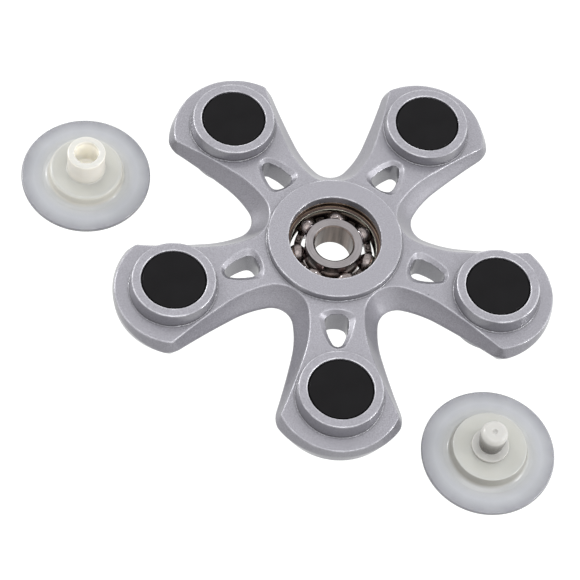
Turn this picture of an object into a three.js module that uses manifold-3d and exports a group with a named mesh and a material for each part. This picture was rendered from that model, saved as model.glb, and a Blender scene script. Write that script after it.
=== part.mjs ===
// Five-arm fidget spinner with an open 608 ball bearing, lying flat on a table with its two
// finger caps taken off beside it. Millimetres, +Z up, table at z = 0, origin under the
// centre of the whole layout.
import * as THREE from 'three';
import { mergeVertices } from 'three/addons/utils/BufferGeometryUtils.js';
import Module from 'manifold-3d';

const wasm = await Module();
wasm.setup();

// ---------------------------------------------------------------- driving dimensions

const ARM_COUNT = 5;
const FIRST_ARM = -Math.PI / 2;          // one arm points along -Y
const ARM_PITCH = (2 * Math.PI) / ARM_COUNT;

const MID_HEIGHT = 6.1;                  // parting plane of the casting above the table
const BOSS_HALF = 6.1;                   // half heights, measured from the parting plane
const HUB_HALF = 5.8;
const ARM_HALF_AT_HUB = 4.2;             // arm half thickness at radius HUB_R
const ARM_TAPER = 1.9 / 30;              // half thickness lost per millimetre of radius

const HUB_R = 13.8;                      // raised ring round the bearing
const HUB_OPENING_R = 9.48;              // lip above the bearing
const BOSS_RADIUS_POS = 35;              // boss centre from the hub axis
const BOSS_TOP_R = 8.6;
const BOSS_BASE_R = 8.95;
const BOSS_BORE_R = 6.72;
const EDGE = 0.4;                        // broken edges of the casting

const TIP_CENTRE = 33;                   // arm tips are arcs about this point of the arm axis
const TIP_R = 14;
const TIP_TOP_R = 13.75;
const TIP_CORNER = THREE.MathUtils.degToRad(65.5);
const TIP_TOP_CORNER = THREE.MathUtils.degToRad(61);
const WAIST_HALF = 8.66;                 // half width of the narrowest place, parting plane
const WAIST_TOP_HALF = 5.4;              // and at the upper edge
const VALLEY_R = 17.9;                   // bottom of the valley between two arms
const VALLEY_TOP_R = 13.7;
const FLANK_SCOOP = 0.12;                // how far the flanks are hollowed, as a share

const WINDOW_HUB_END = 16.7;             // window in each arm, in radii from the hub axis
const WINDOW_WIDE_AT = 18.3;
const WINDOW_NARROW_AT = 23;
const WINDOW_TIP_END = 23.9;
const WINDOW_WIDE = 2.45;                // half widths
const WINDOW_NARROW = 1.15;
const WINDOW_BEVEL = 0.85;               // width and depth of the bevel round it
const WINDOW_END_SHARE = 0.45;           // shares of the bevel width at its ends and narrow side
const WINDOW_NARROW_SHARE = 0.8;

const BEARING_BORE_R = 4;                // 608 bearing: 8 x 22 x 7 mm
const BORE_CHAMFER = 0.45;
const RING_CHAMFER = 0.4;
const BEARING_R = 11;
const BEARING_HALF = 3.5;
const PITCH_R = 7.5;
const BALL_R = 3.969 / 2;
const BALL_COUNT = 7;
const BALL_START = THREE.MathUtils.degToRad(82.9);
const RACE_GROOVE_R = 2.1;
const INNER_LAND_R = 5.95;
const OUTER_LAND_R = 8.95;
const SHIELD_STEP_R = 9.6;               // recess that a shield would snap into
const SHIELD_STEP_DEPTH = 1.1;
const LAND_DROP = 0.3;                   // slope from the recess down to the outer land
const POCKET_GAP = 0.1;                  // clearance of the bearing in its pocket
const SHOULDER_GAP = 0.2;

const CAGE_INNER_R = 6.75;
const CAGE_OUTER_R = 8.2;
const CAGE_SHEET = 0.35;
const CAGE_GAP = 0.04;                   // half the gap between the two cage halves
const CAGE_POCKET_R = 2.12;
const RIVET_R = 0.3;
const RIVET_HOLE_R = 0.38;
const RIVET_HEAD_R = 0.58;
const RIVET_HEAD = 0.22;

const DISC_R = 6.6;
const DISC_THICK = 1.2;
const DISC_BEVEL = 0.25;
const DISC_SUNK = 0.15;                  // disc face below the boss face
const WEIGHT_R = 6.5;
const WEIGHT_GAP = 0.3;

const CAP_SOCKET_POS = [-51.4, 20.5];    // cap centres from the hub axis
const CAP_PEG_POS = [30.8, -43.1];
const FLANGE_R = 13.65;
const FLANGE_THICK = 1;
const CAP_EDGE = 0.2;
const CAP_FILLET = 0.5;                  // between the flange and the boss of a cap
const CAP_BOSS_TOP_R = 7.5;
const CAP_BOSS_BASE_R = 7.8;
const CAP_BOSS_TOP = 3.6;
const TUBE_R = 3.98;
const TUBE_TOP = 9.8;
const SOCKET_R = 2.65;
const SOCKET_FLOOR = 3.2;
const SPIGOT_R = 3.65;
const SPIGOT_TOP = 4.4;
const PEG_R = 2.6;
const PEG_NECK_R = 1.95;
const PEG_SHOULDER = 1.8;                // height over which the neck widens to the peg
const PEG_NOSE = 0.8;
const PEG_TOP = 10.45;
const PEG_DIMPLE_R = 0.6;
const PEG_DIMPLE_DEPTH = 0.35;

// Steps that the curved outlines and the turned faces are divided into.
const VALLEY_STEPS = 4;
const FLANK_STEPS = 6;
const TIP_STEPS = 5;
const WINDOW_STEPS = 4;
const CONE_SIDES = 45;
const HUB_SIDES = 60;
const BOSS_SIDES = 32;
const DISC_SIDES = 28;
const OUTER_RING_SIDES = 48;
const INNER_RING_SIDES = 36;
const GROOVE_STEPS = 4;
const CAP_SIDES = 40;
const NOSE_STEPS = 4;
const BALL_SIDES = 12;
const BALL_ROWS = 8;
const RIVET_SIDES = 6;

// The hub axis sits where it centres the whole layout on the origin.
const reachRight = TIP_CENTRE * Math.cos(FIRST_ARM + ARM_PITCH) + TIP_R;
const reachTop = TIP_CENTRE * Math.sin(FIRST_ARM + 2 * ARM_PITCH) + TIP_R;
const HUB_X = -(reachRight + CAP_SOCKET_POS[0] - FLANGE_R) / 2;
const HUB_Y = -(reachTop + CAP_PEG_POS[1] - FLANGE_R) / 2;

// ---------------------------------------------------------------- materials

const paint = { color: 0xacacb6, roughness: 0.42, metalness: 0.75 };
const steel = { color: 0x9e9696, roughness: 0.25, metalness: 1 };
const darkSteel = { color: 0x4a4543, roughness: 0.35, metalness: 1 };
const chrome = { color: 0xd8d8dc, roughness: 0.05, metalness: 1 };
const blackGloss = { color: 0x242325, roughness: 0.15, metalness: 0 };
const plainSteel = { color: 0x8c8c90, roughness: 0.4, metalness: 1 };
const capPlastic = { color: 0xd7d7cd, roughness: 0.45, metalness: 0 };

// ---------------------------------------------------------------- geometry helpers

const point = (x, y) => new THREE.Vector2(x, y);

/** Solid of revolution about +Z from [radius, height] pairs, outer side going up. */
function turned(profile, segments) {
  const geometry = new THREE.LatheGeometry(profile.map(([r, z]) => point(r, z)), segments);
  return geometry.rotateX(Math.PI / 2);
}

/** Ring of revolution: the profile closes on itself. */
function turnedRing(profile, segments) {
  return turned([...profile, profile[0]], segments);
}

/** Points of an arc in a [radius, height] profile, ends included. */
function arc(cx, cy, radius, from, to, steps) {
  return Array.from({ length: steps + 1 }, (_, i) => {
    const angle = from + ((to - from) * i) / steps;
    return [cx + radius * Math.cos(angle), cy + radius * Math.sin(angle)];
  });
}

/** Geometry to manifold: merged vertices, no zero-area triangles. */
function toManifold(geometry) {
  const bare = geometry.clone();
  bare.deleteAttribute('normal');
  bare.deleteAttribute('uv');
  const merged = mergeVertices(bare, 1e-4);
  const index = merged.index.array;
  const triangles = [];
  for (let i = 0; i < index.length; i += 3) {
    const [a, b, c] = [index[i], index[i + 1], index[i + 2]];
    if (a !== b && b !== c && a !== c) triangles.push(a, b, c);
  }
  return new wasm.Manifold(new wasm.Mesh({
    numProp: 3,
    vertProperties: new Float32Array(merged.attributes.position.array),
    triVerts: new Uint32Array(triangles),
  }));
}

/** Manifold back to geometry. */
function toGeometry(manifold) {
  const mesh = manifold.getMesh();
  const geometry = new THREE.BufferGeometry();
  geometry.setAttribute('position', new THREE.BufferAttribute(mesh.vertProperties, 3));
  geometry.setIndex(new THREE.BufferAttribute(mesh.triVerts, 1));
  return geometry;
}

/** Skin between rings of equal length, closed with flat ends. Rings run anticlockwise. */
function loft(rings) {
  const count = rings[0].length;
  const positions = rings.flat().flatMap((p) => [p.x, p.y, p.z]);
  const index = [];
  for (let level = 0; level < rings.length - 1; level += 1) {
    for (let i = 0; i < count; i += 1) {
      const a = level * count + i;
      const b = level * count + ((i + 1) % count);
      index.push(a, b, b + count, a, b + count, a + count);
    }
  }
  const addEnd = (level, facingUp) => {
    const outline = rings[level].map((p) => point(p.x, p.y));
    for (const [a, b, c] of THREE.ShapeUtils.triangulateShape(outline, [])) {
      const corners = facingUp ? [a, b, c] : [a, c, b];
      index.push(...corners.map((corner) => level * count + corner));
    }
  };
  addEnd(0, false);
  addEnd(rings.length - 1, true);
  const geometry = new THREE.BufferGeometry();
  geometry.setAttribute('position', new THREE.Float32BufferAttribute(positions, 3));
  geometry.setIndex(index);
  return geometry;
}

const armAngle = (arm) => FIRST_ARM + arm * ARM_PITCH;
const armHalfThickness = (radius) => ARM_HALF_AT_HUB - (radius - HUB_R) * ARM_TAPER;

// ---------------------------------------------------------------- spinner body

/** Half an arm outline, from the valley to the tip, in the arm's own axes. */
function halfOutline({ valleyR, pull, waist, flankPull, tipR, corner }) {
  const bisector = ARM_PITCH / 2;
  const valley = point(valleyR * Math.cos(bisector), valleyR * Math.sin(bisector));
  const along = point(Math.sin(bisector), -Math.cos(bisector));
  const tipCorner = point(TIP_CENTRE + tipR * Math.cos(corner), tipR * Math.sin(corner));
  const valleyCurve = new THREE.CubicBezierCurve(
    valley,
    valley.clone().addScaledVector(along, pull[0]),
    point(waist.x - pull[1], waist.y),
    waist,
  );
  const flankCurve = new THREE.CubicBezierCurve(
    waist,
    point(waist.x + flankPull.near, waist.y),
    point(tipCorner.x - flankPull.far.x, tipCorner.y - flankPull.far.y),
    tipCorner,
  );
  const tip = arc(TIP_CENTRE, 0, tipR, corner, 0, TIP_STEPS).map(([x, y]) => point(x, y));
  return [
    ...valleyCurve.getPoints(VALLEY_STEPS),
    ...flankCurve.getPoints(FLANK_STEPS).slice(1),
    ...tip.slice(1),
  ];
}

const midOutline = halfOutline({
  valleyR: VALLEY_R,
  pull: [1.6, 2.4],
  waist: point(20, WAIST_HALF),
  flankPull: { near: 5.5, far: point(5.8, 1.65) },
  tipR: TIP_R,
  corner: TIP_CORNER,
});

const topOutline = halfOutline({
  valleyR: VALLEY_TOP_R,
  pull: [2.5, 3],
  waist: point(18, WAIST_TOP_HALF),
  flankPull: { near: 4, far: point(10.2, 4.9) },
  tipR: TIP_TOP_R,
  corner: TIP_TOP_CORNER,
});

/** The whole star outline at each level, as rings of 3-D points about the hub axis. */
function starRings() {
  const overshoot = 1.3;                 // rings beyond the faces, to be cut back by the cone
  const halfLevels = midOutline.map((mid, i) => {
    const top = topOutline[i];
    const height = armHalfThickness(top.length());
    const isTip = i >= VALLEY_STEPS + FLANK_STEPS;
    const hollow = mid.clone().lerp(top, isTip ? 0.5 : 0.5 + FLANK_SCOOP);
    const beyond = hollow.clone().lerp(top, 2 * overshoot - 1);
    return [
      [mid, 0],
      [hollow, height / 2],
      [beyond, height * overshoot],
    ];
  });
  const ring = (level, sign) => {
    const half = halfLevels.map((levels) => levels[level]);
    const mirrored = half.slice(1, -1).map(([p, z]) => [point(p.x, -p.y), z]);
    const arm = [...mirrored, ...half.slice().reverse()];
    return Array.from({ length: ARM_COUNT }, (_, k) => arm.map(([p, z]) => {
      const placed = p.clone().rotateAround(point(0, 0), armAngle(k));
      return new THREE.Vector3(placed.x, placed.y, sign * z);
    })).flat();
  };
  return [ring(2, -1), ring(1, -1), ring(0, 1), ring(1, 1), ring(2, 1)];
}

/** Rounded triangular window, grown by a margin, in the arm's own axes. */
function windowOutline(margin) {
  const hubEnd = point(WINDOW_HUB_END - margin * WINDOW_END_SHARE, 0);
  const wide = point(WINDOW_WIDE_AT, WINDOW_WIDE + margin);
  const narrow = point(WINDOW_NARROW_AT, WINDOW_NARROW + margin * WINDOW_NARROW_SHARE);
  const tipEnd = point(WINDOW_TIP_END + margin * WINDOW_END_SHARE, 0);
  const sideSlope = point(1.1, -0.7);    // direction of the straight side where it ends
  const spans = [
    [hubEnd, point(hubEnd.x, 0.6 * wide.y), point(hubEnd.x + 0.2, wide.y), wide],
    [wide, point(wide.x + 1.5, wide.y), narrow.clone().sub(sideSlope), narrow],
    [narrow, point(narrow.x + 0.7, 0.75 * narrow.y), point(tipEnd.x, 0.4 * narrow.y), tipEnd],
  ];
  const half = spans.flatMap((corners) => (
    new THREE.CubicBezierCurve(...corners).getPoints(WINDOW_STEPS).slice(0, -1)));
  const mirrored = half.map((p) => point(p.x, -p.y));
  return [...mirrored, tipEnd, ...half.slice(1).reverse()];
}

/** Cutter for one window: a straight hole that flares into a bevel at both faces. */
function windowCutter() {
  const face = armHalfThickness(WINDOW_WIDE_AT + 2);
  const ring = (margin, z) => (
    windowOutline(margin).map((p) => new THREE.Vector3(p.x, p.y, z)));
  return toManifold(loft([
    ring(2 * WINDOW_BEVEL, -face - WINDOW_BEVEL),
    ring(0, -face + WINDOW_BEVEL),
    ring(0, face - WINDOW_BEVEL),
    ring(2 * WINDOW_BEVEL, face + WINDOW_BEVEL),
  ]));
}

/** Broken edges of a disc between two heights, as the outer side of a profile. */
const rimProfile = (r, half) => [
  [r - EDGE, -half],
  [r, -half + EDGE],
  [r, half - EDGE],
  [r - EDGE, half],
];

function spinnerBody() {
  const clear = 1;                       // how far cutters pass the faces they cut
  const reach = TIP_CENTRE + TIP_R + 2 * clear;
  const conePart = turned([
    [0, -armHalfThickness(0)],
    [reach, -armHalfThickness(reach)],
    [reach, armHalfThickness(reach)],
    [0, armHalfThickness(0)],
  ], CONE_SIDES);
  let body = toManifold(loft(starRings())).intersect(toManifold(conePart));

  const hubRing = turned([[0, -HUB_HALF], ...rimProfile(HUB_R, HUB_HALF), [0, HUB_HALF]], HUB_SIDES);
  body = body.add(toManifold(hubRing));

  const bossBase = armHalfThickness(BOSS_RADIUS_POS + BOSS_BASE_R);
  const [lowFace, lowRim, topRim, topFace] = rimProfile(BOSS_TOP_R, BOSS_HALF);
  const bossWall = [[BOSS_BASE_R, -bossBase], [BOSS_BASE_R, bossBase]];
  const boss = turned([
    [0, -BOSS_HALF],
    lowFace,
    lowRim,
    ...bossWall,
    topRim,
    topFace,
    [0, BOSS_HALF],
  ], BOSS_SIDES);
  const bore = turned([
    [0, -BOSS_HALF - clear],
    [BOSS_BORE_R, -BOSS_HALF - clear],
    [BOSS_BORE_R, BOSS_HALF + clear],
    [0, BOSS_HALF + clear],
  ], BOSS_SIDES);
  const bossSolid = toManifold(boss);
  const boreSolid = toManifold(bore);
  const windowSolid = windowCutter();
  for (let arm = 0; arm < ARM_COUNT; arm += 1) {
    const turn = [0, 0, THREE.MathUtils.radToDeg(armAngle(arm))];
    const placeOnArm = (solid) => solid.translate([BOSS_RADIUS_POS, 0, 0]).rotate(turn);
    body = body.add(placeOnArm(bossSolid));
    body = body.subtract(placeOnArm(boreSolid));
    body = body.subtract(windowSolid.rotate(turn));
  }

  const pocketR = BEARING_R + POCKET_GAP;
  const shoulder = BEARING_HALF + SHOULDER_GAP;
  const pocket = turned([
    [0, -HUB_HALF - clear],
    [pocketR + EDGE + clear, -HUB_HALF - clear],
    [pocketR, -HUB_HALF + EDGE],
    [pocketR, shoulder],
    [HUB_OPENING_R, shoulder],
    [HUB_OPENING_R, HUB_HALF - EDGE],
    [HUB_OPENING_R + EDGE + clear, HUB_HALF + clear],
    [0, HUB_HALF + clear],
  ], HUB_SIDES);
  return toGeometry(body.subtract(toManifold(pocket)));
}

// ---------------------------------------------------------------- bearing

function bearingOuterRing() {
  const half = BEARING_HALF;
  const step = half - SHIELD_STEP_DEPTH;
  const grooveAngle = Math.acos((OUTER_LAND_R - PITCH_R) / RACE_GROOVE_R);
  return turnedRing([
    [BEARING_R - RING_CHAMFER, -half],
    [BEARING_R, -half + RING_CHAMFER],
    [BEARING_R, half - RING_CHAMFER],
    [BEARING_R - RING_CHAMFER, half],
    [SHIELD_STEP_R, half],
    [SHIELD_STEP_R, step],
    [OUTER_LAND_R, step - LAND_DROP],
    ...arc(PITCH_R, 0, RACE_GROOVE_R, grooveAngle, -grooveAngle, GROOVE_STEPS),
    [OUTER_LAND_R, -step + LAND_DROP],
    [SHIELD_STEP_R, -step],
    [SHIELD_STEP_R, -half],
  ], OUTER_RING_SIDES);
}

function bearingInnerRing() {
  const half = BEARING_HALF;
  const edge = RING_CHAMFER / 2;
  const grooveAngle = Math.acos((PITCH_R - INNER_LAND_R) / RACE_GROOVE_R);
  return turnedRing([
    [BEARING_BORE_R + BORE_CHAMFER, -half],
    [INNER_LAND_R - edge, -half],
    [INNER_LAND_R, -half + edge],
    ...arc(PITCH_R, 0, RACE_GROOVE_R, Math.PI + grooveAngle, Math.PI - grooveAngle, GROOVE_STEPS),
    [INNER_LAND_R, half - edge],
    [INNER_LAND_R - edge, half],
    [BEARING_BORE_R + BORE_CHAMFER, half],
    [BEARING_BORE_R, half - BORE_CHAMFER],
    [BEARING_BORE_R, -half + BORE_CHAMFER],
  ], INNER_RING_SIDES);
}

const ballAngle = (ball) => BALL_START + (ball * 2 * Math.PI) / BALL_COUNT;
const rivetAngle = (rivet) => ballAngle(rivet + 0.5);

/** Upper half of the ribbon cage: flat between the balls, arched over each of them. */
function cageHalf() {
  const flatTop = CAGE_GAP + CAGE_SHEET;
  const outerR = CAGE_POCKET_R + CAGE_SHEET;
  const halfPitch = (Math.PI * PITCH_R) / BALL_COUNT;
  const start = Math.asin(flatTop / outerR);
  const archAngles = [0.25, 0.5, 0.75, 1].map((share) => start + (Math.PI / 2 - start) * share);
  const rising = [
    { low: [halfPitch, CAGE_GAP], high: [halfPitch, flatTop] },
    { low: [CAGE_POCKET_R, CAGE_GAP], high: [outerR * Math.cos(start), flatTop] },
    ...archAngles.map((angle) => ({
      low: [CAGE_POCKET_R * Math.cos(angle), CAGE_POCKET_R * Math.sin(angle)],
      high: [outerR * Math.cos(angle), outerR * Math.sin(angle)],
    })),
  ];
  const mirror = ({ low, high }) => ({ low: [-low[0], low[1]], high: [-high[0], high[1]] });
  const period = [...rising, ...rising.slice(1, -1).reverse().map(mirror)];

  const sections = [];
  for (let ball = 0; ball < BALL_COUNT; ball += 1) {
    for (const { low, high } of period) {
      const corner = (radius, [s, z]) => {
        const angle = ballAngle(ball) - s / PITCH_R;
        return new THREE.Vector3(radius * Math.cos(angle), radius * Math.sin(angle), z);
      };
      sections.push([
        corner(CAGE_INNER_R, low),
        corner(CAGE_OUTER_R, low),
        corner(CAGE_OUTER_R, high),
        corner(CAGE_INNER_R, high),
      ]);
    }
  }
  const positions = sections.flat().flatMap((p) => [p.x, p.y, p.z]);
  const index = [];
  sections.forEach((_, i) => {
    const next = (i + 1) % sections.length;
    for (let side = 0; side < 4; side += 1) {
      const a = i * 4 + side;
      const b = i * 4 + ((side + 1) % 4);
      const c = next * 4 + ((side + 1) % 4);
      const d = next * 4 + side;
      index.push(a, c, b, a, d, c);
    }
  });
  const ribbon = new THREE.BufferGeometry();
  ribbon.setAttribute('position', new THREE.Float32BufferAttribute(positions, 3));
  ribbon.setIndex(index);

  const reach = 2 * flatTop;
  const drillProfile = [[0, -reach], [RIVET_HOLE_R, -reach], [RIVET_HOLE_R, reach], [0, reach]];
  const drill = toManifold(turned(drillProfile, RIVET_SIDES));
  let cage = toManifold(ribbon);
  for (let rivet = 0; rivet < BALL_COUNT; rivet += 1) {
    const angle = rivetAngle(rivet);
    cage = cage.subtract(drill.translate([
      PITCH_R * Math.cos(angle),
      PITCH_R * Math.sin(angle),
      0,
    ]));
  }
  return toGeometry(cage);
}

function rivet() {
  const seat = CAGE_GAP + CAGE_SHEET + CAGE_GAP;
  const crown = seat + RIVET_HEAD;
  return turned([
    [0, -crown],
    [RIVET_HEAD_R - RIVET_HEAD, -crown],
    [RIVET_HEAD_R, -seat],
    [RIVET_R, -seat],
    [RIVET_R, seat],
    [RIVET_HEAD_R, seat],
    [RIVET_HEAD_R - RIVET_HEAD, crown],
    [0, crown],
  ], RIVET_SIDES);
}

// ---------------------------------------------------------------- discs and weights

function disc() {
  const top = BOSS_HALF - DISC_SUNK;
  return turned([
    [0, top - DISC_THICK],
    [DISC_R, top - DISC_THICK],
    [DISC_R, top - DISC_BEVEL],
    [DISC_R - DISC_BEVEL, top],
    [0, top],
  ], DISC_SIDES);
}

function counterweight() {
  const half = BOSS_HALF - DISC_SUNK - DISC_THICK - WEIGHT_GAP;
  return turned([[0, -half], [WEIGHT_R, -half], [WEIGHT_R, half], [0, half]], DISC_SIDES);
}

// ---------------------------------------------------------------- finger caps

const capBase = [
  [0, 0],
  [FLANGE_R - CAP_EDGE, 0],
  [FLANGE_R, CAP_EDGE],
  [FLANGE_R, FLANGE_THICK - CAP_EDGE],
  [FLANGE_R - CAP_EDGE, FLANGE_THICK],
  [CAP_BOSS_BASE_R + CAP_FILLET, FLANGE_THICK],
  [CAP_BOSS_BASE_R, FLANGE_THICK + CAP_FILLET],
  [CAP_BOSS_TOP_R, CAP_BOSS_TOP - CAP_EDGE],
  [CAP_BOSS_TOP_R - CAP_EDGE, CAP_BOSS_TOP],
];

/** Cap with a hollow tube that enters the bearing bore and receives the other cap's peg. */
function socketCap() {
  return turned([
    ...capBase,
    [TUBE_R, CAP_BOSS_TOP],
    [TUBE_R, TUBE_TOP - CAP_EDGE],
    [TUBE_R - CAP_EDGE, TUBE_TOP],
    [SOCKET_R + CAP_EDGE, TUBE_TOP],
    [SOCKET_R, TUBE_TOP - CAP_EDGE],
    [SOCKET_R, SOCKET_FLOOR],
    [0, SOCKET_FLOOR],
  ], CAP_SIDES);
}

/** Cap with a short locating spigot and a peg, narrow at its foot, that snaps into the tube. */
function pegCap() {
  return turned([
    ...capBase,
    [SPIGOT_R, CAP_BOSS_TOP],
    [SPIGOT_R, SPIGOT_TOP - CAP_EDGE],
    [SPIGOT_R - CAP_EDGE, SPIGOT_TOP],
    [PEG_NECK_R, SPIGOT_TOP],
    [PEG_R, SPIGOT_TOP + PEG_SHOULDER],
    ...arc(PEG_R - PEG_NOSE, PEG_TOP - PEG_NOSE, PEG_NOSE, 0, Math.PI / 2, NOSE_STEPS),
    [PEG_DIMPLE_R, PEG_TOP],
    [0, PEG_TOP - PEG_DIMPLE_DEPTH],
  ], CAP_SIDES);
}

// ---------------------------------------------------------------- assembly

const model = new THREE.Group();
const spinner = new THREE.Group();
spinner.position.set(HUB_X, HUB_Y, MID_HEIGHT);
model.add(spinner);

function addPiece(parent, name, geometry, finish, place = [0, 0, 0]) {
  const mesh = new THREE.Mesh(geometry, new THREE.MeshStandardMaterial(finish));
  mesh.name = name;
  mesh.position.set(...place);
  parent.add(mesh);
  return mesh;
}

/** A point at a radius and an angle round the hub axis. */
const around = (radius, angle) => [radius * Math.cos(angle), radius * Math.sin(angle), 0];

addPiece(spinner, 'spinner_body', spinnerBody(), paint);
addPiece(spinner, 'bearing_outer_ring', bearingOuterRing(), steel);
addPiece(spinner, 'bearing_inner_ring', bearingInnerRing(), steel);

const upperCage = cageHalf();
addPiece(spinner, 'cage_upper', upperCage, darkSteel);
const lowerCage = addPiece(spinner, 'cage_lower', upperCage, darkSteel);
lowerCage.rotation.set(Math.PI, 0, -2 * BALL_START);

const ballGeometry = new THREE.SphereGeometry(BALL_R, BALL_SIDES, BALL_ROWS).rotateX(Math.PI / 2);
const rivetGeometry = rivet();
for (let i = 0; i < BALL_COUNT; i += 1) {
  addPiece(spinner, `ball_${i + 1}`, ballGeometry, chrome, around(PITCH_R, ballAngle(i)));
  addPiece(spinner, `cage_rivet_${i + 1}`, rivetGeometry, darkSteel, around(PITCH_R, rivetAngle(i)));
}

const discGeometry = disc();
const weightGeometry = counterweight();
for (let arm = 0; arm < ARM_COUNT; arm += 1) {
  const place = around(BOSS_RADIUS_POS, armAngle(arm));
  const label = arm + 1;
  addPiece(spinner, `counterweight_${label}`, weightGeometry, plainSteel, place);
  addPiece(spinner, `disc_top_${label}`, discGeometry, blackGloss, place);
  const under = addPiece(spinner, `disc_bottom_${label}`, discGeometry, blackGloss, place);
  under.rotation.x = Math.PI;
}

const capPlace = ([x, y]) => [HUB_X + x, HUB_Y + y, 0];
addPiece(model, 'cap_socket', socketCap(), capPlastic, capPlace(CAP_SOCKET_POS));
addPiece(model, 'cap_peg', pegCap(), capPlastic, capPlace(CAP_PEG_POS));

export default model;
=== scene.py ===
import math

import bpy
import numpy as np
from mathutils import Matrix, Vector


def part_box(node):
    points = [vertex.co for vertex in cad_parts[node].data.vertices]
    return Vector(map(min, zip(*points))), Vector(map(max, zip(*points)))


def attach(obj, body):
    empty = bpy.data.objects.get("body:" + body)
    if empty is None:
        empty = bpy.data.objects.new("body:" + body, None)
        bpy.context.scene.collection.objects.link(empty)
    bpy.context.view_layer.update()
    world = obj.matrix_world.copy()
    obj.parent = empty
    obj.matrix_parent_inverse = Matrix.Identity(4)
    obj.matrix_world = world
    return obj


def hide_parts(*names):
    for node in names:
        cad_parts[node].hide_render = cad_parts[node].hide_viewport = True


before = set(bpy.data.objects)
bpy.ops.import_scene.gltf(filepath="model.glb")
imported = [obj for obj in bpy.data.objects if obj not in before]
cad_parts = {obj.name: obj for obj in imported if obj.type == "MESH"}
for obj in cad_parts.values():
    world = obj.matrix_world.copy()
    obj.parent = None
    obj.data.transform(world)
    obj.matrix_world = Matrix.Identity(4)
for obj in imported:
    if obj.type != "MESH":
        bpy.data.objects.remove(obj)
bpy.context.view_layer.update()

# Everything below is drawn in millimetres round its own axis, then placed in metres.
MM = 0.001
TINY = 1e-9


def metres(*lengths):
    """Millimetres as metres."""
    return [length * MM for length in lengths]


def centre_of(node):
    low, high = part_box(node)
    return (low + high) / 2


HUB = centre_of("bearing_inner_ring")          # hub axis, on the parting plane
CAPS = {name: centre_of(name).xy for name in ("cap_socket", "cap_peg")}
BODY_LOW, BODY_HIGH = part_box("spinner_body")
HALF = (BODY_HIGH.z - BODY_LOW.z) / 2 / MM     # from the parting plane to the bosses' faces

# ------------------------------------------------------------------ spinner body, as distances

ARM_COUNT = 5
ARM_PITCH = 2 * math.pi / ARM_COUNT
FIRST_ARM = -math.pi / 2
HUB_STEP = 0.3                                 # the hub ring's faces are lower than the bosses'
HUB_R, HUB_HALF, HUB_DRAFT = 13.95, HALF - HUB_STEP, 0.06
LIP_R, POCKET_R, POCKET_TOP = 9.58, 11.1, 3.7  # the bearing's pocket, open at the bottom
BOSS_AT, BOSS_R, BOSS_DRAFT, BORE_R = 35.0, 8.6, 0.1, 6.72
ARM_HALF, ARM_TAPER = 4.2, 1.9 / 30            # half thickness at the hub ring, loss per mm
TIP_AT, TIP_R, TIP_DRAFT = 33.2, 14.0, 0.25
CORNER_BULGE, CORNER_DRAFT = 0.75, 1.5         # the tip's outline is fuller near its corners
CORNER_EDGE, CORNER_SOFT = 0.2, 1.2            # corner rounding at the face, more at mid height
SCOOP = 0.05                                   # how hollow the flanks are
RIDGE_SOFT = 0.3                               # rounding of the ridge along the parting plane
BEVEL_DEPTH, BEVEL_LEAN = 0.8, 0.75            # bevel round each window, and its distance scale
EDGE, FILLET = 0.16, 0.1                       # rounding of outer edges and of hollow corners
WINDOW_EDGE, BORE_EDGE, LIP_EDGE = 0.1, 0.12, 0.14


def round_cut(a, b, radius):
    """Intersection of two distances with a rounded edge."""
    inner = np.minimum(np.maximum(a, b), -radius)
    return inner + np.hypot(np.maximum(a + radius, 0), np.maximum(b + radius, 0))


def round_join(a, b, radius):
    """Union of two distances with a fillet in the corner."""
    outer = np.maximum(np.minimum(a, b), radius)
    return outer - np.hypot(np.maximum(radius - a, 0), np.maximum(radius - b, 0))


def facing(degrees):
    return np.array([math.cos(math.radians(degrees)), math.sin(math.radians(degrees))])


def arc_chain(u, v, start, turn, arcs):
    """Signed distance from a smooth chain of arcs, positive outside. The chain starts at start
    with its outside facing turn degrees; each arc is (radius, facing at its end), with a
    negative radius where the outline is hollow. A radius of None closes on the u axis."""
    point, distance = np.array(start, float), None
    for radius, end in arcs:
        normal = facing(turn)
        if radius is None:
            radius = point[1] / normal[1]
        centre = point - radius * normal
        from_arc = np.sign(radius) * (np.hypot(u - centre[0], v - centre[1]) - abs(radius))
        if distance is None:
            distance = from_arc
        else:
            after = (u - point[0]) * normal[1] - (v - point[1]) * normal[0] > 0
            distance = np.where(after, from_arc, distance)
        point = centre + radius * facing(end)
        turn = end
    return distance


# Outlines of half an arm that lies along u, as arc chains. A flank starts where it meets the next
# arm's; there is one outline for mid height and one for the faces. A window has one for its
# hole and one for the rim of its bevel.
BISECTOR = math.degrees(ARM_PITCH / 2)
VALLEY_MID, VALLEY_TOP = 17.9, 14.1            # from the hub's axis to where two arms meet
FLANK_MID = (VALLEY_MID * facing(BISECTOR), BISECTOR, [(-4.24, 83.3), (-22, 103), (-170, 110)])
FLANK_TOP = (VALLEY_TOP * facing(BISECTOR), BISECTOR, [(-7.0, 86), (-24, 108), (-125, 118)])
WINDOW_HOLE = ((16.65, 0), 180, [(4, 157), (1.5, 87), (10.9, 60.5), (None, 0)])
WINDOW_RIM = ((15.9, 0), 180, [(8.1, 161), (1.7, 81.5), (16.2, 61.7), (None, 0)])
WINDOW_REACH = 25.5                            # the window's outlines mean nothing beyond this


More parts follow.
